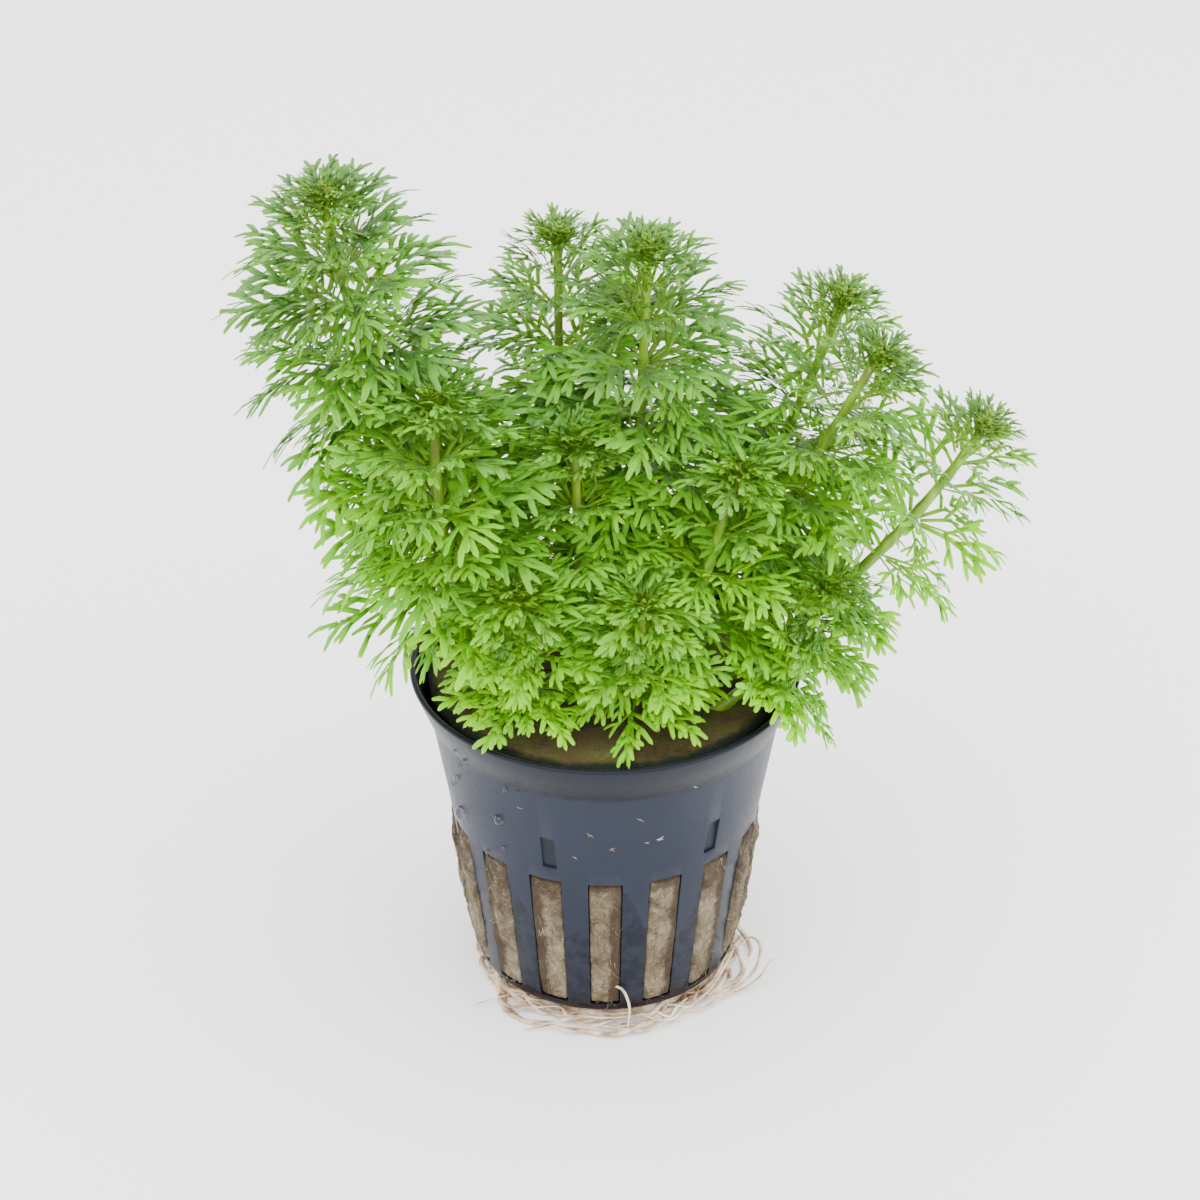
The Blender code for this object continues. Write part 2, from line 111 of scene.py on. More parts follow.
def bearing(point):
    """Angle round the pot in degrees: 0 in front, 90 on the right."""
    return math.degrees(math.atan2(point.x, -point.y))


def wrapped(angle):
    """An angle in degrees brought between -180 and 180."""
    return (angle + 180) % 360 - 180


def off_slot(angle):
    """Degrees from the middle of the nearest slot."""
    return (angle + SLOT_PITCH / 2) % SLOT_PITCH - SLOT_PITCH / 2


def pick(kind, test):
    """In edit mode, select only the faces or edges whose middle passes the test."""
    bpy.ops.mesh.select_mode(type=kind)
    bpy.ops.mesh.select_all(action="DESELECT")
    mesh = bmesh.from_edit_mesh(bpy.context.object.data)
    if kind == "FACE":
        for face in mesh.faces:
            face.select_set(test(face, face.calc_center_median()))
    else:
        for edge in mesh.edges:
            if test(edge, (edge.verts[0].co + edge.verts[1].co) / 2):
                edge.select_set(True)
    mesh.select_flush_mode()
    bmesh.update_edit_mesh(bpy.context.object.data)


def height_on_pot(middle):
    """Height of a point above the pot's underside, in millimetres."""
    return middle.z / MM - POT_FOOT


def is_slot_wall(face, middle):
    """Whether a face of the wall lies in one of the slots."""
    on_wall = math.hypot(*middle.xy) > FLOOR_EDGE * MM
    return (SLOT_LOW < height_on_pot(middle) < SLOT_HIGH and on_wall
            and abs(off_slot(bearing(middle))) < SLOT_HALF_ANGLE)


pot = draw_section("net_pot_wall", POT_SECTION, POT_FOOT)
turn_section(POT_STEPS)
pick("FACE", is_slot_wall)
bpy.ops.mesh.delete(type="FACE")
for slot in range(SLOTS):
    def is_rim_of_slot(edge, middle):
        gap = wrapped(bearing(middle) - slot * SLOT_PITCH)
        return edge.is_boundary and abs(gap) < SLOT_PITCH / 2
    pick("EDGE", is_rim_of_slot)
    bpy.ops.mesh.bridge_edge_loops()
for notch in NOTCH_BEARINGS:
    def is_notch(face, middle):
        beside = abs(wrapped(bearing(middle) - notch))
        outside = face.normal.dot(Vector((middle.x, middle.y, 0))) > 0
        return (NOTCH_LOW < height_on_pot(middle) < NOTCH_HIGH and outside
                and beside < NOTCH_HALF_ANGLE)
    pick("FACE", is_notch)
    turn = math.radians(notch)
    inward = Vector((-math.sin(turn), math.cos(turn), -0.1)) * NOTCH_DEPTH * MM
    bpy.ops.mesh.extrude_region_move(TRANSFORM_OT_translate={"value": inward})
bpy.ops.mesh.select_all(action="SELECT")
bpy.ops.mesh.normals_make_consistent(inside=False)
bpy.ops.object.mode_set(mode="OBJECT")
edges = pot.modifiers.new("moulded edges", "BEVEL")
edges.width = MOULDED_EDGE * MM
edges.segments = 2
edges.limit_method = "ANGLE"
edges.angle_limit = math.radians(32)
bpy.ops.object.modifier_apply(modifier=edges.name)
bpy.ops.object.shade_smooth_by_angle(angle=math.radians(30))


def put(tree, kind, feeds=None, **settings):
    """Add a shader node with its settings, and feed its inputs with values or sockets."""
    node = tree.nodes.new("ShaderNode" + kind)
    for name, value in settings.items():
        setattr(node, name, value)
    for name, value in (feeds or {}).items():
        if isinstance(value, bpy.types.NodeSocket):
            tree.links.new(value, node.inputs[name])
        else:
            node.inputs[name].default_value = value
    return node


def start_finish(name, roughness, **sockets):
    """A new material with its shader's constants set; returns it, its tree, shader and place."""
    material = bpy.data.materials.new(name)
    material.use_nodes = True
    tree = material.node_tree
    shader = tree.nodes["Principled BSDF"]
    shader.inputs["Roughness"].default_value = roughness
    for socket, value in sockets.items():
        shader.inputs[socket.replace("_", " ")].default_value = value
    place = tree.nodes.new("ShaderNodeTexCoord").outputs["Object"]
    return material, tree, shader, place


def speckle(tree, place, scale, detail=3.0, rough=0.55, stretch=None):
    """Noise at a place, stretched along an axis if asked; scale is in patches per metre."""
    if stretch:
        place = put(tree, "Mapping", {"Vector": place, "Scale": stretch}).outputs[0]
    feeds = {"Vector": place, "Scale": scale, "Detail": detail, "Roughness": rough}
    return put(tree, "TexNoise", feeds).outputs[0]


def shades(tree, share, *stops):
    """A colour ramp over a share; each stop is (place, (red, green, blue))."""
    node = put(tree, "ValToRGB", {"Fac": share})
    ramp = node.color_ramp
    while len(ramp.elements) < len(stops):
        ramp.elements.new(0.5)
    for element, (where, colour) in zip(ramp.elements, stops):
        element.position = where
        element.color = (*colour, 1)
    return node.outputs[0]


def span(tree, value, low, high, out_low=0.0, out_high=1.0):
    """Value between low and high, eased to a share between out_low and out_high."""
    feeds = {"Value": value, "From Min": low, "From Max": high,
             "To Min": out_low, "To Max": out_high}
    return put(tree, "MapRange", feeds, interpolation_type="SMOOTHSTEP").outputs[0]


def sums(tree, operation, first, second):
    """One sum of two values or sockets."""
    return put(tree, "Math", {0: first, 1: second}, operation=operation).outputs[0]


def blend(tree, share, first, second, kind="MIX"):
    """Mix two colours or sockets by a share."""
    node = put(tree, "Mix", data_type="RGBA", blend_type=kind)
    for socket, value in ((0, share), (6, first), (7, second)):
        if isinstance(value, bpy.types.NodeSocket):
            tree.links.new(value, node.inputs[socket])
        elif socket:
            node.inputs[socket].default_value = (*value, 1)
        else:
            node.inputs[socket].default_value = value
    return node.outputs[2]


def relief(tree, shader, height, depth, strength=1.0):
    """Bump from a height; depth is how deep it is in metres."""
    feeds = {"Height": height, "Distance": depth, "Strength": strength}
    normal = put(tree, "Bump", feeds).outputs[0]
    tree.links.new(normal, shader.inputs["Normal"])


def round_the_pot(tree, place):
    """Distance from the pot's axis, height, and bearing round the axis in degrees."""
    parts = put(tree, "SeparateXYZ", {0: place}).outputs
    flat = put(tree, "VectorMath", {0: place, 1: (1, 1, 0)}, operation="MULTIPLY").outputs[0]
    radius = put(tree, "VectorMath", {0: flat}, operation="LENGTH").outputs["Value"]
    back = sums(tree, "MULTIPLY", parts[1], -1.0)
    turn = sums(tree, "MULTIPLY", sums(tree, "ARCTAN2", parts[0], back), 180 / math.pi)
    return radius, parts[2], turn


plastic, tree, shader, place = start_finish("slate_pot_plastic", 0.4, Specular_IOR_Level=0.12)
radius, height, turn = round_the_pot(tree, place)
cloud = speckle(tree, place, 55, 3)
body = shades(tree, cloud, (0.3, (0.0100, 0.0130, 0.0235)), (0.7, (0.0140, 0.0175, 0.0300)))
# Painted shade: the collar above the step is painted darker, to offset the bright floor that it
# reflects
collar = span(tree, height, 0.0430, 0.0442, 0.0, 0.8)
body = blend(tree, collar, body, (0.005, 0.006, 0.010))
# Painted shade in the stacking notches, deepest towards their top
off_notch = sums(tree, "FLOORED_MODULO", sums(tree, "ADD", turn, 50.0), 60.0)
off_notch = sums(tree, "ABSOLUTE", sums(tree, "SUBTRACT", off_notch, 30.0), 0.0)
notch_shade = sums(tree, "MULTIPLY", span(tree, off_notch, 2.2, 2.6, 1.0, 0.0),
            span(tree, height, 0.0295, 0.0345, 0.25, 0.8))
low_end = span(tree, height, 0.0294, 0.0299)
high_end = span(tree, height, 0.0351, 0.0356, 1.0, 0.0)
notch_shade = sums(tree, "MULTIPLY", notch_shade, sums(tree, "MULTIPLY", low_end, high_end))
body = blend(tree, notch_shade, body, (0.004, 0.005, 0.008))
# Water drawn up the ribs: its edge wanders, and some ribs are wet higher than others
edge = sums(tree, "MULTIPLY", speckle(tree, place, 90, 1, stretch=(1, 1, 0.02)), 0.034)
water = span(tree, sums(tree, "SUBTRACT", height, edge), 0.0034, 0.0042, 1.0, 0.0)
mottle = span(tree, speckle(tree, place, 420, 4, 0.7), 0.38, 0.62)
damp = shades(tree, mottle, (0.0, (0.005, 0.0065, 0.012)), (1.0, (0.0115, 0.014, 0.023)))
body = blend(tree, water, body, damp)
# Painted shade where the ribs turn under at the foot, with a brownish painted reflection
foot = span(tree, height, 0.0034, 0.0062, 1.0, 0.0)
body = blend(tree, foot, body, (0.010, 0.007, 0.008))
# The inside and the top of the rim are darkened to a speckled dark green: painted shade of the gap
# between rim and plug
past_wall = sums(tree, "SUBTRACT", radius, sums(tree, "MULTIPLY", height, 0.42))
lip = span(tree, past_wall, 0.0057, 0.0062, 1.0, 0.0)
high = span(tree, height, 0.0436, 0.0450)
inside = sums(tree, "MULTIPLY", lip, high)
rim_shade = shades(tree, speckle(tree, place, 260, 4), (0.3, (0.006, 0.011, 0.008)),
               (0.75, (0.016, 0.024, 0.014)))
body = blend(tree, inside, body, rim_shade)
tree.links.new(body, shader.inputs["Base Color"])
satin = sums(tree, "ADD", 0.30, sums(tree, "MULTIPLY", speckle(tree, place, 800, 4), 0.16))
wet = sums(tree, "MULTIPLY", water, -0.14)
tree.links.new(sums(tree, "ADD", satin, wet), shader.inputs["Roughness"])
relief(tree, shader, speckle(tree, place, 1500, 4, 0.6), 0.00003)
pot.data.materials.append(plastic)
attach(pot, "root")
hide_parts("net_pot")

# The plug is a block of spun rock fibre, soaked brown, which fills the cup. It swells out through
# the slots, most of all at the sides, where its threads stand out of it, and its top is dark
# with algae and moss, with painted shade round its edge. The shoots are pushed into it.
WOOL_LOW = 1.6
WOOL_TOP = 46.8
WOOL_EDGE = 0.9
WOOL_ROWS = 84
WOOL_STEPS = 288
WOOL_COLUMN = 360 / WOOL_STEPS
# The wool stands back from the outside of the pot by the wall and a little play
WOOL_SETBACK = 1.4
WOOL_BRIM = 24.9
WOOL_TOP_RINGS = 30
SWELL_FRONT = 1.42
SWELL_SIDES = 2.2
# Degrees from the middle of a slot: how far its wool reaches, and where its last two columns
# close up to its side walls
WOOL_IN_SLOT = 7.6
CLOSED_COLUMNS = {5: 6.02, 6: 6.14}


def wool_radius(height):
    """Outside of the wool at a height above the pot's underside, where no slot is."""
    heights = (0, SLOT_HIGH, 41.3, 45.5)
    outside = (18.9, 22.1, 24.8, WOOL_BRIM + WOOL_SETBACK)
    return float(np.interp(height, heights, outside)) - WOOL_SETBACK


wool_section = [(0, WOOL_LOW), (8, WOOL_LOW)]
for row in range(WOOL_ROWS):
    level = WOOL_LOW + row * (WOOL_TOP - WOOL_EDGE - WOOL_LOW) / (WOOL_ROWS - 1)
    wool_section.append((wool_radius(level), level))
brim_radius = wool_radius(WOOL_TOP)
wool_section += [(brim_radius - 0.25, WOOL_TOP - 0.4), (brim_radius - WOOL_EDGE, WOOL_TOP)]
for ring in range(WOOL_TOP_RINGS - 2, -1, -1):
    wool_section.append((brim_radius * ring / WOOL_TOP_RINGS, WOOL_TOP))
wool = draw_section("soaked_rockwool", wool_section, POT_FOOT)
turn_section(WOOL_STEPS)
bpy.ops.object.mode_set(mode="OBJECT")
slot_faces = []
for vert in wool.data.vertices:
    point = vert.co / MM
    level = point.z - POT_FOOT
    out = Vector((point.x, point.y, 0))
    if out.length < 0.01:
        continue
    angle = bearing(point)
    lump = noise.fractal(point * 0.32, 0.9, 2.0, 4)
    fine = noise.fractal(point * 1.7, 0.9, 2.0, 3)
    if level > WOOL_TOP - 0.6:
        vert.co.z += (0.35 * lump + 0.18 * fine - 0.1) * MM
        continue
    if level < WOOL_LOW + 0.1:
        continue
    swell = 0.0
    off = off_slot(angle)
    if SLOT_LOW + 0.1 < level < SLOT_HIGH - 0.1 and abs(off) < WOOL_IN_SLOT:
        column = round(abs(off) / WOOL_COLUMN)
        turned = CLOSED_COLUMNS.get(column, abs(off))
        angle += math.copysign(turned, off) - off
        if column < 6:
            side = abs(math.sin(math.radians(angle)))
            ends = min(level - SLOT_LOW, SLOT_HIGH - level)
            swell = SWELL_FRONT * min(1.0, 0.5 + ends)
            swell += (SWELL_SIDES - SWELL_FRONT) * side ** 2 * min(1.0, ends / 6.0)
            swell -= 0.3 if column == 5 else 0.0
    rough = 0.3 if swell < 0.5 or column == 5 else 1.0
    push = swell + (0.34 * lump + 0.16 * fine) * rough
    reach = out.length + push
    turn = math.radians(angle)
    vert.co = Vector((reach * math.sin(turn), -reach * math.cos(turn), point.z)) * MM
    if swell > 0.9 and column < 4:
        slot_faces.append((vert.co / MM, out.normalized()))
bpy.ops.object.shade_smooth()

rockwool, tree, shader, place = start_finish("soaked_rockwool", 0.82, Specular_IOR_Level=0.3)
radius, height, turn = round_the_pot(tree, place)
matted = speckle(tree, place, 230, 6, 0.7)
threads = speckle(tree, place, 1500, 5, 0.75, stretch=(1, 1, 0.5))
tan = shades(tree, matted, (0.32, (0.050, 0.034, 0.016)), (0.48, (0.130, 0.099, 0.056)),
             (0.66, (0.236, 0.197, 0.130)))
dark_threads = span(tree, threads, 0.36, 0.56, 0.65, 0.0)
tan = blend(tree, dark_threads, tan, (0.055, 0.036, 0.018))
light_threads = span(tree, speckle(tree, place, 1900, 4, 0.8), 0.56, 0.68, 0.0, 0.6)
tan = blend(tree, light_threads, tan, (0.46, 0.40, 0.29))
# Painted shade, dark brown, along the edge of each slot farther from the front, where the wool
# meets the rib; the upper part of each slot is also darkened in blotches
folded = sums(tree, "FLOORED_MODULO", sums(tree, "ADD", turn, SLOT_PITCH / 2), SLOT_PITCH)
beside = sums(tree, "SUBTRACT", folded, SLOT_PITCH / 2)
beside = sums(tree, "MULTIPLY", beside, span(tree, turn, -12.0, -10.0, -1.0, 1.0))
wander = sums(tree, "MULTIPLY", speckle(tree, place, 150, 5, 0.65), 11.0)
slot_shade_and_darkening = span(tree, sums(tree, "ADD", beside, wander), 6.0, 8.6)
blotches = sums(tree, "MULTIPLY", speckle(tree, place, 190, 5, 0.7), 0.050)
upper = span(tree, sums(tree, "ADD", height, blotches), 0.043, 0.055, 0.0, 0.95)
slot_shade_and_darkening = sums(tree, "MAXIMUM", slot_shade_and_darkening, upper)
tan = blend(tree, sums(tree, "MULTIPLY", slot_shade_and_darkening, 0.86), tan, (0.028, 0.014, 0.004))
plug_top_colour = shades(tree, speckle(tree, place, 170, 5, 0.7), (0.30, (0.036, 0.022, 0.007)),
               (0.50, (0.100, 0.068, 0.022)), (0.62, (0.088, 0.084, 0.015)),
               (0.80, (0.180, 0.140, 0.070)))
# Painted shade: the top darkens to green-black towards its edge, in the gap beside the collar
brim = sums(tree, "ADD", radius, sums(tree, "MULTIPLY", speckle(tree, place, 300, 3), 0.002))
plug_top_colour = blend(tree, span(tree, brim, 0.0240, 0.0254), plug_top_colour, (0.006, 0.010, 0.006))
top = span(tree, height, 0.0440, 0.0475)
tree.links.new(blend(tree, top, tan, plug_top_colour), shader.inputs["Base Color"])
relief(tree, shader, sums(tree, "ADD", threads, matted), 0.0005)
wool.data.materials.append(rockwool)


def tubes(name, courses, bevel, sides=2, flat=1.0):
    """One mesh of round strands; each course is a list of (x, y, z, share of the thickness)."""
    bpy.ops.object.select_all(action="DESELECT")
    bpy.ops.curve.primitive_nurbs_path_add()
    strands = bpy.context.object
    strands.name = name
    curve = strands.data
    curve.splines.clear()
    for course in courses:
        spline = curve.splines.new("POLY")
        spline.points.add(len(course) - 1)
        for point, (x, y, z, share) in zip(spline.points, course):
            point.co = (x * MM, y * MM, z * MM / flat, 1)
            point.radius = share
    curve.bevel_depth = bevel * MM
    curve.bevel_resolution = sides
    curve.use_fill_caps = True
    bpy.ops.object.convert(target="MESH")
    if flat != 1.0:
        bpy.ops.transform.resize(value=(1, 1, flat), center_override=(0, 0, 0))
        bpy.ops.object.transform_apply(location=False, rotation=False, scale=True)
    bpy.ops.object.mode_set(mode="EDIT")
    bpy.ops.mesh.select_all(action="SELECT")
    bpy.ops.mesh.remove_doubles(threshold=0.000001)
    bpy.ops.mesh.normals_make_consistent(inside=False)
    bpy.ops.object.mode_set(mode="OBJECT")
    bpy.ops.object.shade_smooth()
    return strands


def join_into(whole, *others):
    """Join other pieces into one, which keeps its name."""
    bpy.ops.object.select_all(action="DESELECT")
    for piece in (whole, *others):
        piece.select_set(True)
    bpy.context.view_layer.objects.active = whole
    bpy.ops.object.join()


FIBRES = 900
FIBRE_SEED = 11
FIBRE_RADIUS = 0.03
rng = random.Random(FIBRE_SEED)
fibres = []
for fibre in range(FIBRES):
    start, out = rng.choice(slot_faces)
    across = Vector((-out.y, out.x, 0))
    along = across * rng.uniform(-0.9, 0.9) + Vector((0, 0, 1))
    along *= rng.choice((-1, 1)) * rng.uniform(0.18, 0.5)
    bow = across * rng.uniform(-0.10, 0.10)
    lift = rng.uniform(0.03, 0.16)
    course = []
    for step in (0, 0.75, 1.5, 2.25, 3.0):
        rise = out * (lift * math.sin(step * 1.05) - 0.04)
        course.append((*(start + along * step + bow * step * step + rise), 1 - 0.2 * step))
    fibres.append(course)
fuzz = tubes("rockwool_fibres", fibres, FIBRE_RADIUS, sides=0)
threads_finish, tree, shader, place = start_finish("rockwool_threads", 0.7)
cream = shades(tree, speckle(tree, place, 260, 3, 0.6), (0.36, (0.050, 0.029, 0.012)),
               (0.50, (0.19, 0.145, 0.078)), (0.66, (0.42, 0.35, 0.22)))
tree.links.new(cream, shader.inputs["Base Color"])
relief(tree, shader, speckle(tree, place, 3000, 2), 0.00003)
fuzz.data.materials.append(threads_finish)
join_into(wool, fuzz)
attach(wool, "root")
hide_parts("rockwool_plug")

# The roots have grown out under the foot into a thin pale mat of flat ribbons, with loose
# strands and a few loops round its edge. The pot stands on it.
MAT_HIGH = 2.0
MAT_EDGE = 21.6
# The mat is narrower on the left of the pot, between these bearings
MAT_LEFT = (-150, -52)
MAT_EDGE_LEFT = 19.0
ROOT_STRANDS = 84
ROOT_SEED = 4
ROOT_RADIUS = 0.30
ROOT_FLATNESS = 0.6
# Thickness, and bends as bearing, radius and height above the floor
LOOSE_ROOTS = (
    (0.8, (4.5, 19.5, 7.6), (7.5, 20.3, 7.2), (9.5, 21.0, 4.6), (8.6, 21.2, 1.2)),
    (0.7, (-26, 20.6, 2.0), (-31, 20.4, 2.6), (-37, 20.0, 3.4), (-41, 20.4, 2.4)),
    (0.8, (38, 20.2, 1.4), (45, 21.2, 3.4), (52, 21.8, 6.4), (60, 21.6, 7.8), (66, 21.4, 5.4)),
    (1.0, (48, 20.6, 1.2), (56, 22.6, 1.6), (64, 24.2, 3.6), (70, 24.0, 6.0), (72, 22.2, 6.6),
     (70, 20.6, 5.0)),
    (0.65, (50, 20.8, 1.0), (58, 23.0, 1.0), (64, 25.0, 2.6), (68, 25.6, 4.0), (70, 26.2, 4.2)),
    (0.8, (22, 20.0, 2.2), (26, 21.2, 1.8), (30, 20.6, 2.6), (36, 20.2, 3.0)),
    (0.55, (-20, 20.8, 0.8), (-26, 22.4, 0.6), (-30, 23.4, 0.4)),
    (0.75, (-12, 19.9, 2.4), (-2, 20.2, 2.5), (8, 20.2, 2.5), (16, 20.0, 2.4)),
    (0.45, (-44, 20.0, 2.0), (-49, 22.4, 1.2), (-52, 24.4, 0.5)),
)
FELT_STEPS = 144
FELT_WAVE = 1.3
# Half section of the felted middle as (radius, height)
FELT_SECTION = ((0, 0.15), (10, 0.15), (16.8, 0.2), (18.0, 0.5), (18.2, 1.2), (17.8, 1.8),
                (16.8, MAT_HIGH), (9, MAT_HIGH), (0, MAT_HIGH))


def smooth_course(points, steps):
    """A smooth line through a few points, in a number of steps from each to the next."""
    points = [Vector(p) for p in points]
    course = []
    for number in range(len(points) - 1):
        before = points[max(number - 1, 0)]
        start, end = points[number], points[number + 1]
        after = points[min(number + 2, len(points) - 1)]
        for step in range(steps):
            t = step / steps
            course.append(0.5 * (2 * start + (end - before) * t
                                 + (2 * before - 5 * start + 4 * end - after) * t * t
                                 + (3 * start - before - 3 * end + after) * t ** 3))
    course.append(points[-1])
    return course


def at_bearing(angle, radius, height):
    """A point at a bearing and a radius round the pot and a height above the floor."""
    turn = math.radians(angle)
    return (radius * math.sin(turn), -radius * math.cos(turn), height)


def on_left(angle):
    """Whether a bearing lies on the left, where the mat is narrower."""
    return MAT_LEFT[0] < wrapped(angle) < MAT_LEFT[1]


def thinned(course, thick, loss, power):
    """A course with its share of the thickness, which falls by the loss towards its end."""
    last = len(course) - 1
    return [(*point, thick * (1 - loss * (n / last) ** power)) for n, point in enumerate(course)]


rng = random.Random(ROOT_SEED)
strands = []
for number in range(ROOT_STRANDS):
    angle = number * 360 / ROOT_STRANDS + rng.uniform(-4, 4)
    radius = rng.uniform(16.5, 20.6)
    lift = rng.uniform(0.35, 1.7)
    if on_left(angle):
        radius -= 2.2
    way = rng.choice((-1, 1))
    points = []
    for bend in range(rng.randint(4, 7)):
        points.append(at_bearing(angle, radius, lift))
        angle += way * rng.uniform(5, 11)
        outer = MAT_EDGE_LEFT if on_left(angle) else MAT_EDGE
        radius = min(outer, max(15.5, radius + rng.uniform(-2.2, 2.2)))
        lift = min(1.9, max(0.35, lift + rng.uniform(-0.5, 0.5)))
    thick = rng.uniform(0.7, 1.9)
    strands.append(thinned(smooth_course(points, 4), thick, 0.7, 3))
for thick, *bends in LOOSE_ROOTS:
    points = [at_bearing(*bend) for bend in bends]
    strands.append(thinned(smooth_course(points, 7), thick, 0.55, 2))
roots = tubes("loose_roots", strands, ROOT_RADIUS, sides=1, flat=ROOT_FLATNESS)
felt = draw_section("root_mat_felt", FELT_SECTION)
turn_section(FELT_STEPS)
bpy.ops.object.mode_set(mode="OBJECT")
for vert in felt.data.vertices:
    out = Vector((vert.co.x, vert.co.y, 0))
    if out.length > 12 * MM:
        wave = noise.fractal(out / MM * 0.22, 0.9, 2.0, 4)
        vert.co += out.normalized() * wave * FELT_WAVE * MM
bpy.ops.object.shade_smooth()
join_into(roots, felt)

pale, tree, shader, place = start_finish("pale_roots", 0.5, Subsurface_Weight=0.2,
                                         Subsurface_Scale=0.0008)
ribbons = speckle(tree, place, 330, 4, 0.6, stretch=(1, 1, 0.4))
cream = shades(tree, ribbons, (0.34, (0.20, 0.115, 0.060)), (0.45, (0.42, 0.29, 0.185)),
               (0.56, (0.60, 0.48, 0.34)), (0.68, (0.80, 0.73, 0.61)))
tree.links.new(cream, shader.inputs["Base Color"])
relief(tree, shader, speckle(tree, place, 1600, 4), 0.0002)
roots.data.materials.append(pale)
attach(roots, "root")
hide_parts("root_mat")

# Water still clings to the left of the wall in drops, and a few pale fibres of root and
# rockwool are stuck to the front.
WALL_SLOPE = 0.166
DROP_SHAPE = (0.95, 1.05, 0.8)
# Bearing, height above the floor and radius of the drop
DROPS = ((-62.2, 31.5, 1.15), (-38.6, 35.9, 0.82), (-43.0, 48.6, 0.36), (-54.1, 44.9, 0.40),
         (-49.4, 44.4, 0.34), (-59.4, 38.6, 0.50), (-33.8, 42.4, 0.42), (-28.8, 42.9, 0.28),
         (-38.5, 30.6, 0.38), (-47.8, 27.9, 0.36), (-56.0, 41.6, 0.32), (-64.5, 36.0, 0.38))


def wall_radius(height):
    """Outside of the pot's wall at a height above the floor."""
    radii, heights = zip(*POT_SECTION[4:11])
    return float(np.interp(height - POT_FOOT, heights, radii))


drops = []
for angle, height, size in DROPS:
    spot = Vector(at_bearing(angle, wall_radius(height), height)) * MM
    tilt = (math.pi / 2 + math.atan(WALL_SLOPE), 0, math.radians(angle))
    bpy.ops.mesh.primitive_uv_sphere_add(segments=24, ring_count=14, radius=size * MM,
                                         location=spot, rotation=tilt, scale=DROP_SHAPE)
    bpy.ops.object.transform_apply()
    drops.append(bpy.context.object)
join_into(*drops)
droplets = drops[0]
droplets.name = "water_droplets"
bpy.ops.object.shade_smooth()
water, tree, shader, place = start_finish("clear_water", 0.02, Transmission_Weight=1.0, IOR=1.333)
tint = shades(tree, speckle(tree, place, 500, 2), (0.3, (0.90, 0.95, 1.0)), (0.7, (1, 1, 1)))
tree.links.new(tint, shader.inputs["Base Color"])
relief(tree, shader, speckle(tree, place, 900, 2), 0.00002, 0.3)
droplets.data.materials.append(water)
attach(droplets, "root")

# Bearing and height above the floor of each spot with fibres
SPECKS = ((-5.1, 36.95), (-10.5, 32.5), (2.2, 34.3), (11.2, 39.7), (-28.9, 39.9), (28.8, 44.0),
          (48.6, 18.3), (18.6, 35.25), (14.0, 35.1))
SPECK_SEED = 7
SPECK_RADIUS = 0.022
rng = random.Random(SPECK_SEED)
specks = []
for angle, height in SPECKS:
    radius = wall_radius(height)
    for strand in range(rng.randint(1, 4)):
        lean = rng.uniform(-0.7, 0.7)
        long = rng.uniform(0.2, 0.7)
        course = []
        for step, bulge, thick in ((-1, 0.0, 0.6), (0, 0.05, 1.0), (1, 0.0, 0.6)):
            turned = angle + math.degrees(long * step * math.cos(lean) / radius)
            up = long * step * math.sin(lean) + 0.12 * strand
            out = radius + WALL_SLOPE * up + bulge
            course.append((*at_bearing(turned, out, height + up), thick))
        specks.append(course)
stuck_fibres = tubes("stuck_fibres", specks, SPECK_RADIUS, sides=1)
stuck_fibres.data.materials.append(pale)
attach(stuck_fibres, "root")

# Every leaf is divided: a thin stalk, a midrib, and narrow blunt segments on both sides that point
# forwards and may bear smaller ones. The segment is modelled once, as a flat lens, and copied
# into five kinds of leaf of unit length, which are laid along the blades of the solids.
SEGMENT_FLATNESS = 0.24
SEGMENT_SAG = 0.22
# Share of a segment's length, and its width there as a share of the widest
SEGMENT_RINGS = ((0.0, 0.80), (0.58, 0.98), (0.92, 0.70))

bpy.ops.mesh.primitive_circle_add(vertices=4, radius=SEGMENT_RINGS[0][1] / 2, fill_type="NGON",
                                  rotation=(-math.pi / 2, 0, 0))
segment = bpy.context.object
bpy.ops.object.transform_apply()
bpy.ops.object.mode_set(mode="EDIT")
bpy.ops.mesh.select_all(action="SELECT")
bpy.ops.transform.resize(value=(1, 1, SEGMENT_FLATNESS), center_override=(0, 0, 0))
for (near, before), (far, after) in zip(SEGMENT_RINGS, SEGMENT_RINGS[1:]):
    bpy.ops.mesh.extrude_region_move(TRANSFORM_OT_translate={"value": (0, far - near, 0)})
    bpy.ops.transform.resize(value=(after / before, 1, 1), center_override=(0, far, 0))
bpy.ops.mesh.extrude_region_move(TRANSFORM_OT_translate={"value": (0, 1 - far, 0)})
bpy.ops.mesh.merge(type="CENTER")
bpy.ops.mesh.select_all(action="SELECT")
bpy.ops.mesh.normals_make_consistent(inside=False)
bpy.ops.object.mode_set(mode="OBJECT")
segment_verts = np.array([tuple(vert.co) for vert in segment.data.vertices])
segment_rim = np.abs(segment_verts[:, 2]) < 1e-6
segment_faces = [tuple(face.vertices) for face in segment.data.polygons]
bpy.data.objects.remove(segment)


def lay_segment(parts, start, angle, length, width, lift=0.0, curl=0.3):
    """Copy the segment into a leaf; returns a function from a share of it to place and angle."""
    def along(share):
        turned = angle * (1 - curl * share)
        mean = angle * (1 - curl * share / 2)
        rise = start[2] + length * share * lift - SEGMENT_SAG * length * share ** 2
        return (start[0] + length * share * np.sin(mean),
                start[1] + length * share * np.cos(mean), rise), turned
    across, share, rise = segment_verts.T
    (x, y, z), turned = along(share)
    parts.append(np.stack([x + across * width * np.cos(turned),
                           y - across * width * np.sin(turned), z + rise * width], -1))
    return along


# Share of the leaf's length where its last pair of segments stands
LAST_PAIR = 0.78


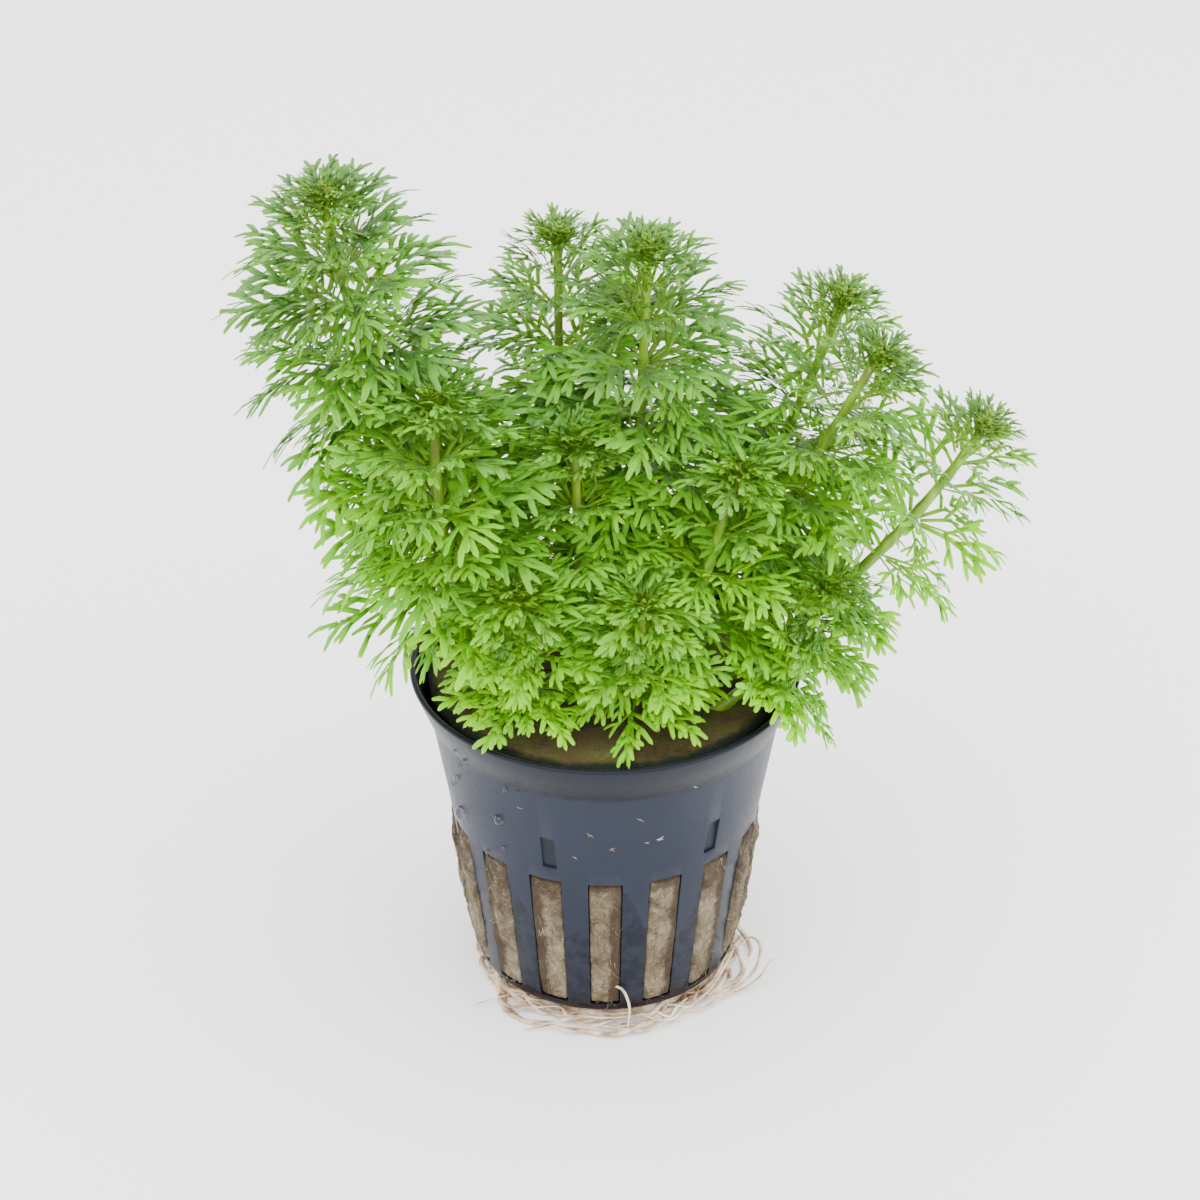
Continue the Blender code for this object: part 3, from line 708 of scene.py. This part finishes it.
def grow_leaf(seed, stalk, width, spread, reach, forks):
    """One leaf of unit length: its vertices, x across, y along and z up, and its faces."""
    rng = random.Random(seed)
    parts = []
    lay_segment(parts, (0, -0.02, 0), 0.0, 0.72, width * 0.95, 0.0, 0)
    tip = lay_segment(parts, (0, 0.5, -0.012), 0.0, 0.5, width, -0.03, 0)
    for number, smaller in enumerate(forks):
        share = number / max(len(forks) - 1, 1)
        at = stalk + (LAST_PAIR - stalk) * share
        for side in (-1, 1):
            start = at + side * 0.022 + rng.uniform(-0.03, 0.03)
            angle = side * (spread * (1 - 0.40 * share) + rng.uniform(-0.14, 0.14))
            length = reach * (1 - 0.42 * share ** 1.5) * rng.uniform(0.82, 1.14)
            lift = rng.uniform(-0.12, 0.34)
            point = lay_segment(parts, (0, start, -0.01 - 0.03 * share), angle, length,
                                width * rng.uniform(0.85, 1.05), lift)
            for fork in range(smaller):
                place, turned = point(0.42 + 0.22 * fork + rng.uniform(-0.05, 0.05))
                way = side if (fork + number) % 2 == 0 else -side
                lay_segment(parts, place, turned + way * rng.uniform(0.45, 0.72),
                            length * (0.50 - 0.10 * fork) * rng.uniform(0.88, 1.15),
                            width * 0.88, rng.uniform(-0.15, 0.25))
    for side, share in ((-1, 0.44), (1, 0.60)):
        place, turned = tip(share)
        lay_segment(parts, place, side * rng.uniform(0.40, 0.58), 0.17, width * 0.85,
                    rng.uniform(-0.1, 0.2))
    verts = np.concatenate(parts)
    faces = [tuple(v + n * len(segment_verts) for v in face)
             for n in range(len(parts)) for face in segment_faces]
    return verts, faces


# Seeds, stalk's share of the length, width of a segment, angle and length of the first pair of
# segments, and how many smaller segments each pair bears
LEAF_KINDS = {
    "full": (range(1, 6), 0.20, 0.061, 0.86, 0.51, (1, 2, 1, 0)),
    "upper": (range(6, 10), 0.22, 0.065, 0.80, 0.46, (1, 1, 0)),
    "thin": (range(10, 14), 0.36, 0.062, 0.72, 0.47, (1, 1, 0)),
    "broad": (range(14, 18), 0.24, 0.070, 0.80, 0.43, (1, 1, 1, 0)),
    "young": (range(18, 22), 0.18, 0.078, 0.64, 0.44, (1, 0, 0)),
}
leaves = {kind: [grow_leaf(seed, *form) for seed in seeds]
          for kind, (seeds, *form) in LEAF_KINDS.items()}


def blades_of(node):
    """Foot, widest place, tip and direction across each blade of a CAD solid."""
    shape = bmesh.new()
    shape.from_mesh(node.data)
    bmesh.ops.remove_doubles(shape, verts=shape.verts, dist=0.000002)
    blades = []
    for vert in shape.verts:
        if len(vert.link_edges) != 4 or min(e.calc_length() for e in vert.link_edges) < 1.2 * MM:
            continue
        corners = [edge.other_vert(vert) for edge in vert.link_edges]
        first = corners[0]
        pair = min(corners[1:], key=lambda other: (other.co - first.co).length)
        others = [c for c in corners if c not in (first, pair)]
        left = (first.co + pair.co) / 2
        right = (others[0].co + others[1].co) / 2
        feet = {edge.other_vert(c) for c in corners for edge in c.link_edges}
        feet = sorted((f.co for f in feet - {vert, *corners}), key=tuple)
        foot = sum(feet, Vector()) / len(feet)
        blades.append([np.array(p) for p in (foot, (left + right) / 2, vert.co, right - left)])
    shape.free()
    return blades


# Share of a blade's length where the solid is widest
WIDEST = 0.55


def face_up(foot, tip, across):
    """The unit direction across a blade, with the sign that keeps its upper face up."""
    side = across / np.linalg.norm(across)
    return -side if np.cross(side, tip - foot)[2] < 0 else side


def lay_leaf(leaf, foot, middle, tip, across, twist=0.0, widen=1.0, reach=1.0):
    """A leaf's vertices laid along a bent blade through its foot, widest place and tip."""
    verts = leaf[0]
    share = verts[:, 1:2] * reach
    whole = np.linalg.norm(middle - foot) + np.linalg.norm(tip - middle)
    w = WIDEST
    at_foot = (share - w) * (share - 1) / w
    at_middle = share * (share - 1) / (w * (w - 1))
    at_tip = share * (share - w) / (1 - w)
    line = foot * at_foot + middle * at_middle + tip * at_tip
    along = (foot * (2 * share - w - 1) / w + middle * (2 * share - 1) / (w * (w - 1))
             + tip * (2 * share - w) / (1 - w))
    along /= np.linalg.norm(along, axis=1, keepdims=True)
    upward = np.cross(face_up(foot, tip, across), along)
    upward /= np.linalg.norm(upward, axis=1, keepdims=True)
    side = np.cross(along, upward)
    turned = side * math.cos(twist) + upward * math.sin(twist)
    raised = upward * math.cos(twist) - side * math.sin(twist)
    return line + (turned * verts[:, 0:1] * widen + raised * verts[:, 2:3]) * whole


class Foliage:
    """Gathers laid leaves into one mesh that keeps each one's tone and the share along it."""

    def __init__(self):
        self.verts, self.faces, self.along, self.tone, self.count = [], [], [], [], 0

    def add(self, leaf, verts, tone):
        verts = np.clip(verts, cad_box[0], cad_box[1])
        self.faces += [tuple(v + self.count for v in face) for face in leaf[1]]
        self.verts.append(verts)
        self.along.append(leaf[0][:, 1])
        self.tone.append(np.full(len(verts), tone))
        self.count += len(verts)

    def finish(self, name, material):
        mesh = bpy.data.meshes.new(name)
        mesh.from_pydata(np.concatenate(self.verts), [], self.faces)
        for kept, values in (("along", self.along), ("tone", self.tone)):
            layer = mesh.attributes.new(kept, "FLOAT", "POINT")
            layer.data.foreach_set("value", np.concatenate(values).astype(np.float32))
        mesh.polygons.foreach_set("use_smooth", [True] * len(mesh.polygons))
        # The rim of a segment is a sharp edge, so that its faces look flat
        ends = np.empty(2 * len(mesh.edges), dtype=np.int32)
        mesh.edges.foreach_get("vertices", ends)
        rim = segment_rim[ends.reshape(-1, 2) % len(segment_verts)].all(axis=1)
        mesh.attributes.new("sharp_edge", "BOOLEAN", "EDGE").data.foreach_set("value", rim)
        mesh.materials.append(material)
        piece = bpy.data.objects.new(name, mesh)
        bpy.context.scene.collection.objects.link(piece)
        return piece


# Direction from the plant to the camera
FRONT = np.array((0.0, -0.85, 0.53))


def turn_to_front(blade):
    """The twist, about the line of a blade, that turns its upper face to the front."""
    foot, _, tip, across = blade
    side = face_up(foot, tip, across)
    upward = np.cross(side, tip - foot) / np.linalg.norm(tip - foot)
    return math.atan2(-side @ FRONT, upward @ FRONT)


leaf_green, tree, shader, place = start_finish(
    "ambulia_leaf", 0.45, Subsurface_Weight=0.45, Subsurface_Scale=0.0008,
    Subsurface_Radius=(0.7, 1.0, 0.2))
tone = put(tree, "Attribute", attribute_name="tone").outputs["Fac"]
along = put(tree, "Attribute", attribute_name="along").outputs["Fac"]
patches = sums(tree, "MULTIPLY", speckle(tree, place, 300, 3), 0.3)
tone = sums(tree, "ADD", tone, sums(tree, "SUBTRACT", patches, 0.15))
# Low tones, for the upper leaves, are darker and bluer, partly a painted sheen; high tones, for
# the lower leaves, are yellower and lighter, partly painted light shining through them
green = shades(tree, tone, (0.02, (0.036, 0.125, 0.022)), (0.38, (0.080, 0.262, 0.015)),
               (0.7, (0.140, 0.440, 0.004)), (0.98, (0.210, 0.590, 0.001)))
stalk = span(tree, along, 0.05, 0.50, 0.5, 0.0)
green = blend(tree, stalk, green, (0.25, 0.42, 0.012))
tree.links.new(green, shader.inputs["Base Color"])
bloom = span(tree, tone, 0.15, 0.65, 0.36, 0.10)
tree.links.new(bloom, shader.inputs["Specular IOR Level"])
# Tiny beads of water catch the light
beads = span(tree, speckle(tree, place, 1300, 2), 0.62, 0.68, 0.46, 0.10)
tree.links.new(beads, shader.inputs["Roughness"])
relief(tree, shader, speckle(tree, place, 2200, 3), 0.00008)

# The shoots: thirteen soft round stems with a light stripe, swollen a little where the leaves
# join, each ending in a bud among its youngest leaves. They stand in the rockwool.
STEM_TOP_SHARE = 0.68
STEM_SEED = 100
STEM_STEPS = 90
# Parts into which a stem is cut to measure it, and how deep it is pushed into the plug
STEM_PARTS = 60
STEM_ROOTED = 5.5
NODE_SWELL = 0.16
NODE_LENGTH = 0.8
LEAF_DROOP = math.radians(20)
# How far below the tip of its stem each whorl stands
WHORL_DROPS = (4.2, 9.2, 15.5, 22.5, 30.0, 37.5, 45.5, 54.0)
# Leaves in each ring of a crown, their rise in radians, length and how far below the tip
CROWN_RINGS = ((8, 0.55, 6.8, 1.2), (8, 0.92, 6.0, 0.7), (7, 1.22, 4.8, 0.2), (6, 1.45, 3.4, -0.2))
# Foot (x, y), growing tip (x, y, z), bend as shares of the way out and up, number of whorls
# with a solid, number of whorls in all, length and kind of a full leaf, radius of the stem,
# share of the gaps in a whorl with one more leaf, shorter leaves besides in each whorl, and
# size of the crown
Shoot = namedtuple("Shoot", "foot tip bend solids whorls long kind thick gaps extras crown")
SHOOTS = [Shoot(*values) for values in (
    ((-11, 5), (-37, 8, 117), (0.94, 0.66), 6, 8, 18.0, "full", 0.88, 1.0, 8, 1.15),
    ((-6, 10), (-6.5, 15, 108), (0.6, 0.5), 3, 6, 14.5, "full", 0.80, 0.7, 1, 1.0),
    ((3, 5), (5.6, 6, 110), (0.6, 0.5), 5, 7, 17.0, "full", 0.85, 0.9, 2, 1.1),
    ((1, 14), (2.4, 17, 97), (0.6, 0.5), 0, 4, 14.0, "full", 0.75, 0.3, 0, 1.0),
    ((11, 9), (32, 13, 99.5), (0.73, 0.63), 3, 6, 15.5, "full", 0.85, 0.6, 2, 1.0),
    ((14, 3), (36, 1, 97), (0.62, 0.67), 3, 6, 14.5, "full", 0.82, 0.6, 3, 1.1),
    ((17, -3), (50.5, 0, 87), (0.68, 0.49), 4, 5, 15.5, "thin", 0.92, 0.15, 1, 0.95),
    ((-16, -4), (-22.5, -5, 94), (1.2, 0.47), 5, 5, 19.0, "full", 0.86, 0.6, 1, 1.45),
    ((-3, -3), (-4.1, -4, 87), (0.6, 0.5), 3, 4, 14.5, "full", 0.85, 0.5, 0, 1.25),
    ((10, -5), (17.7, -6, 84), (0.45, 0.55), 3, 4, 15.5, "full", 0.85, 0.4, 0, 1.55),
    ((-9, -12), (-11.7, -15, 70), (0.7, 0.5), 3, 3, 17.0, "broad", 0.90, 0.7, 5, 1.6),
    ((3, -12), (5, -16, 69), (0.7, 0.5), 3, 3, 17.0, "broad", 0.90, 0.7, 5, 1.6),
    ((16, -10), (30, -8, 67), (0.7, 0.45), 3, 3, 18.0, "broad", 0.90, 1.0, 7, 1.5),
)]
PLUG_FACE = POT_FOOT + WOOL_TOP


def stem_course(shoot, share):
    """Place and direction of a stem at a share of its course from its foot to its tip."""
    foot = Vector((*shoot.foot, PLUG_FACE))
    tip = Vector(shoot.tip)
    out, up = shoot.bend
    elbow = Vector((foot.x + (tip.x - foot.x) * out, foot.y + (tip.y - foot.y) * out,
                    foot.z + (tip.z - foot.z) * up))
    place = foot * (1 - share) ** 2 + elbow * 2 * share * (1 - share) + tip * share ** 2
    heading = (elbow - foot) * (1 - share) + (tip - elbow) * share
    return place, heading.normalized()


stem_green, tree, shader, place = start_finish("ambulia_stem", 0.38)
streaks = speckle(tree, place, 700, 3, stretch=(1, 1, 0.12))
green = shades(tree, streaks, (0.32, (0.085, 0.190, 0.004)), (0.52, (0.150, 0.290, 0.006)),
               (0.7, (0.270, 0.420, 0.025)))
ruddy = span(tree, speckle(tree, place, 70, 2), 0.54, 0.64, 0.0, 0.55)
green = blend(tree, ruddy, green, (0.110, 0.068, 0.018))
tree.links.new(green, shader.inputs["Base Color"])
relief(tree, shader, streaks, 0.0001)


def axes_round(heading):
    """The direction of a stem and two directions square to it."""
    up = np.array(heading)
    first = np.array(heading.orthogonal().normalized())
    return up, first, np.cross(up, first)


def ring_of_leaves(centre, heading, count, rise, long, foot_drop, rng, swing=math.pi):
    """Blades set round a stem, the first up to a swing from the front, as blades_of gives them."""
    up, first, second = axes_round(heading)
    phase = math.atan2(-second[1], -first[1]) + rng.uniform(-swing, swing)
    blades = []
    for number in range(count):
        turn = phase + 2 * math.pi * number / count + rng.uniform(-0.15, 0.15)
        out = first * math.cos(turn) + second * math.sin(turn)
        reach = long * rng.uniform(0.85, 1.1)
        lean = rise + rng.uniform(-0.12, 0.12)
        foot = np.array(centre) + out * 0.5 * MM - up * foot_drop
        middle = foot + (out * math.cos(lean) + up * math.sin(lean)) * reach * WIDEST
        lean -= LEAF_DROOP
        tip = middle + (out * math.cos(lean) + up * math.sin(lean)) * reach * (1 - WIDEST)
        blades.append((foot, middle, tip, np.cross(up, out)))
    return blades


def grow_stem(name, shoot):
    """A stem swollen at its nodes, with a bud at its tip."""
    ends = [stem_course(shoot, n / STEM_PARTS)[0] for n in range(STEM_PARTS + 1)]
    length = sum((there - here).length for here, there in zip(ends, ends[1:]))
    start, heading = stem_course(shoot, 0)
    course = [(*(start - heading * STEM_ROOTED), 1.0)]
    for step in range(STEM_STEPS + 1):
        share = step / STEM_STEPS
        point, heading = stem_course(shoot, share)
        drop = length * (1 - share)
        node = max(math.exp(-((drop - whorl) / NODE_LENGTH) ** 2) for whorl in WHORL_DROPS)
        taper = 1 + (STEM_TOP_SHARE - 1) * share
        course.append((*point, taper * (1 + NODE_SWELL * node)))
    for rise, thick in ((0.5, 0.72), (1.0, 0.5), (1.4, 0.2)):
        course.append((*(point + heading * rise), thick))
    return tubes(name, [course], shoot.thick, sides=3)


for number, shoot in enumerate(SHOOTS, 1):
    rng = random.Random(STEM_SEED + number)
    stem = grow_stem(f"shoot_{number:02d}_stem", shoot)
    stem.data.materials.append(stem_green)
    crown = Foliage()
    top, heading = stem_course(shoot, 1)
    # Bigger crowns, and those of the broad shoots, are painted lighter: painted light against the
    # shade in the dense middle
    young = 0.20 + 0.16 * (shoot.crown > 1.2) + 0.08 * (shoot.kind == "broad")
    for blade in blades_of(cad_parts[f"stem_{number:02d}"]):
        leaf = rng.choice(leaves["young"])
        verts = lay_leaf(leaf, *blade, rng.uniform(-0.3, 0.3))
        crown.add(leaf, verts, young + rng.uniform(-0.1, 0.1))
    opened = 0.32 if shoot.crown > 1.3 else 0.0
    for count, rise, long, foot_drop in CROWN_RINGS:
        ring = ring_of_leaves(top * MM, heading, count, rise - opened, long * shoot.crown * MM,
                              foot_drop * MM, rng)
        for blade in ring:
            leaf = rng.choice(leaves["young"])
            tone = young - 0.04 * (rise > 1.1) + rng.uniform(-0.12, 0.12)
            crown.add(leaf, lay_leaf(leaf, *blade, rng.uniform(-0.3, 0.3)), tone)
    crown = crown.finish(f"shoot_{number:02d}_crown", leaf_green)
    join_into(stem, crown)
    stem.name = f"shoot_{number:02d}"
    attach(stem, "root")
    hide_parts(f"stem_{number:02d}")

# The whorls: rings of leaves round the nodes of the stems. Those with a solid follow its
# blades; the lower ones, which the foliage in front hides, are set out here round their stem.
WHORL_SEED = 200
# Leaves in a whorl without a solid, and steps down a stem in which the place of a whorl is found
WHORL_LEAVES = 7
PLACING_STEPS = 200
# Length of the leaves as a share of a full leaf, and their rise, from the tip down
WHORL_LENGTHS = (0.56, 0.78, 0.92, 1.0, 1.0, 0.96, 0.9, 0.85)
WHORL_RISES = (46, 32, 22, 13, 6, 0, -6, -10)
# How much of its blade a leaf reaches, from the tip down, where that isn't all of it
LEAF_REACHES = {"broad": (1.0, 0.92, 0.78), "thin": (1.0, 1.0, 0.92, 0.80, 0.72)}


def leaves_between(blades, centre, heading, rng):
    """A shorter leaf in each gap between two neighbouring blades of a whorl."""
    up, first, second = axes_round(heading)

    def turn(blade):
        return math.atan2((blade[2] - centre) @ second, (blade[2] - centre) @ first)
    ordered = sorted(blades, key=turn)
    found = []
    for one, other in zip(ordered, ordered[1:] + ordered[:1]):
        between = []
        for here, there in zip(one[:3], other[:3]):
            mean = (here + there) / 2 - centre
            size = (np.linalg.norm(here - centre) + np.linalg.norm(there - centre)) / 2
            between.append(mean / np.linalg.norm(mean) * size)
        share = rng.uniform(0.70, 0.96)
        raised = up * rng.uniform(-0.08, 0.22)
        foot, middle, tip = between
        length = np.linalg.norm(tip)
        middle = foot + (middle - foot) * share + raised * length * 0.5
        tip = foot + (tip - foot) * share + raised * length
        found.append((foot + centre, middle + centre, tip + centre, np.cross(up, tip)))
    return found


def leaf_tone(blade, kind, rank, rng):
    """How yellow and light a leaf is, more so low down and in the lower whorls.
    Part of it is the leaf's own colour, part painted light for light shining through the lower
    leaves.
    """
    low = 1 - min(1.0, max(0.0, (blade[2][2] / MM - 52) / 55))
    front = (-0.10, 0.02, 0.14)[rank] if kind == "broad" else 0
    return 0.22 + 0.40 * low + 0.03 * rank + front + rng.uniform(-0.17, 0.17)


def short_leaves(shoot, rank, kind, centre, heading, rng):
    """Shorter leaves set on one by one round the node of a whorl."""
    blades = []
    for extra in range(shoot.extras):
        long = shoot.long * WHORL_LENGTHS[rank] * rng.uniform(0.55, 0.85) * MM
        if kind == "broad":
            swing = 1.2
            lean = rng.uniform(-0.7, 0.2) if rank < 2 else rng.uniform(0, 0.6)
        else:
            swing = 1.8
            lean = rng.uniform(-0.6, 0.9)
        foot_drop = rng.uniform(-1.5, 1.5) * MM
        blades += ring_of_leaves(centre, heading, 1, lean, long, foot_drop, rng, swing)
    return blades


for number, shoot in enumerate(SHOOTS, 1):
    rng = random.Random(WHORL_SEED + number)
    course = [stem_course(shoot, step / PLACING_STEPS) for step in range(PLACING_STEPS, -1, -1)]
    drops = [0.0]
    for (here, _), (there, _) in zip(course, course[1:]):
        drops.append(drops[-1] + (here - there).length)
    for rank in range(shoot.whorls):
        spot = next(n for n, drop in enumerate(drops) if drop >= WHORL_DROPS[rank])
        centre, heading = course[spot]
        centre = np.array(centre * MM)
        name = f"leaf_whorl_{number:02d}_{rank + 1}"
        if rank < shoot.solids:
            blades = blades_of(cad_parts[name])
        else:
            rise = math.radians(WHORL_RISES[rank])
            long = shoot.long * WHORL_LENGTHS[rank] * MM
            blades = ring_of_leaves(centre, heading, WHORL_LEAVES, rise, long, 0, rng)
        kind = shoot.kind if rank > 1 or shoot.kind == "broad" else "upper"
        blades += [blade for blade in leaves_between(blades, centre, heading, rng)
                   if rng.random() < shoot.gaps]
        blades += short_leaves(shoot, rank, kind, centre, heading, rng)
        reach = LEAF_REACHES[kind][rank] if kind in LEAF_REACHES else 1.0
        whorl = Foliage()
        for blade in blades:
            leaf = rng.choice(leaves[kind])
            twist = rng.uniform(-0.6, 0.6)
            if kind == "thin":
                twist += 0.55 * max(-1.3, min(1.3, turn_to_front(blade)))
            verts = lay_leaf(leaf, *blade, twist, rng.uniform(0.9, 1.15) * reach, reach)
            whorl.add(leaf, verts, leaf_tone(blade, kind, rank, rng))
        piece = whorl.finish(f"divided_{name}", leaf_green)
        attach(piece, "root")
        if rank < shoot.solids:
            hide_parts(name)

# The plant was photographed on a white floor under soft and even light, a little of it from the
# left and above. The stage stands in for that: a pale floor, the camera fitted to the photo,
# three softboxes and a bright sky.
stage_finish, tree, shader, place = start_finish("pale_studio_floor", 0.9)
shader.inputs["Base Color"].default_value = (0.93, 0.93, 0.93, 1)
bpy.ops.mesh.primitive_plane_add(size=4, location=(0, 0, -0.0001))
floor = bpy.context.object
floor.name = "studio_floor"
floor.data.materials.append(stage_finish)

CAMERA_PLACE = (-0.00075, -0.38216, 0.29777)
CAMERA_TILT = math.radians(58.13)
CAMERA_LENS = 97.3
bpy.ops.object.camera_add(location=CAMERA_PLACE, rotation=(CAMERA_TILT, 0, 0))
camera = bpy.context.object
camera.data.lens = CAMERA_LENS
camera.data.sensor_width = 36
camera.data.clip_start = 0.01
bpy.context.scene.camera = camera

# Name, place, power in watts and size in metres
LIGHTS = (("key_softbox", (-0.45, -0.75, 0.95), 15.0, 1.3),
          ("top_softbox", (0.15, 0.15, 1.1), 10.0, 1.3),
          ("fill_softbox", (0.85, -0.45, 0.55), 8.0, 1.1))
for name, spot, power, size in LIGHTS:
    bpy.ops.object.light_add(type="AREA", location=spot)
    light = bpy.context.object
    light.name = name
    light.data.energy = power
    light.data.size = size
    aim = Vector((0, 0, 0.05)) - Vector(spot)
    light.rotation_euler = aim.to_track_quat("-Z", "Y").to_euler()
SKY_STRENGTH = 2.4
world = bpy.data.worlds.new("studio")
bpy.context.scene.world = world
world.use_nodes = True
sky = world.node_tree.nodes["Background"].inputs
sky["Color"].default_value = (1, 1, 1, 1)
sky["Strength"].default_value = SKY_STRENGTH
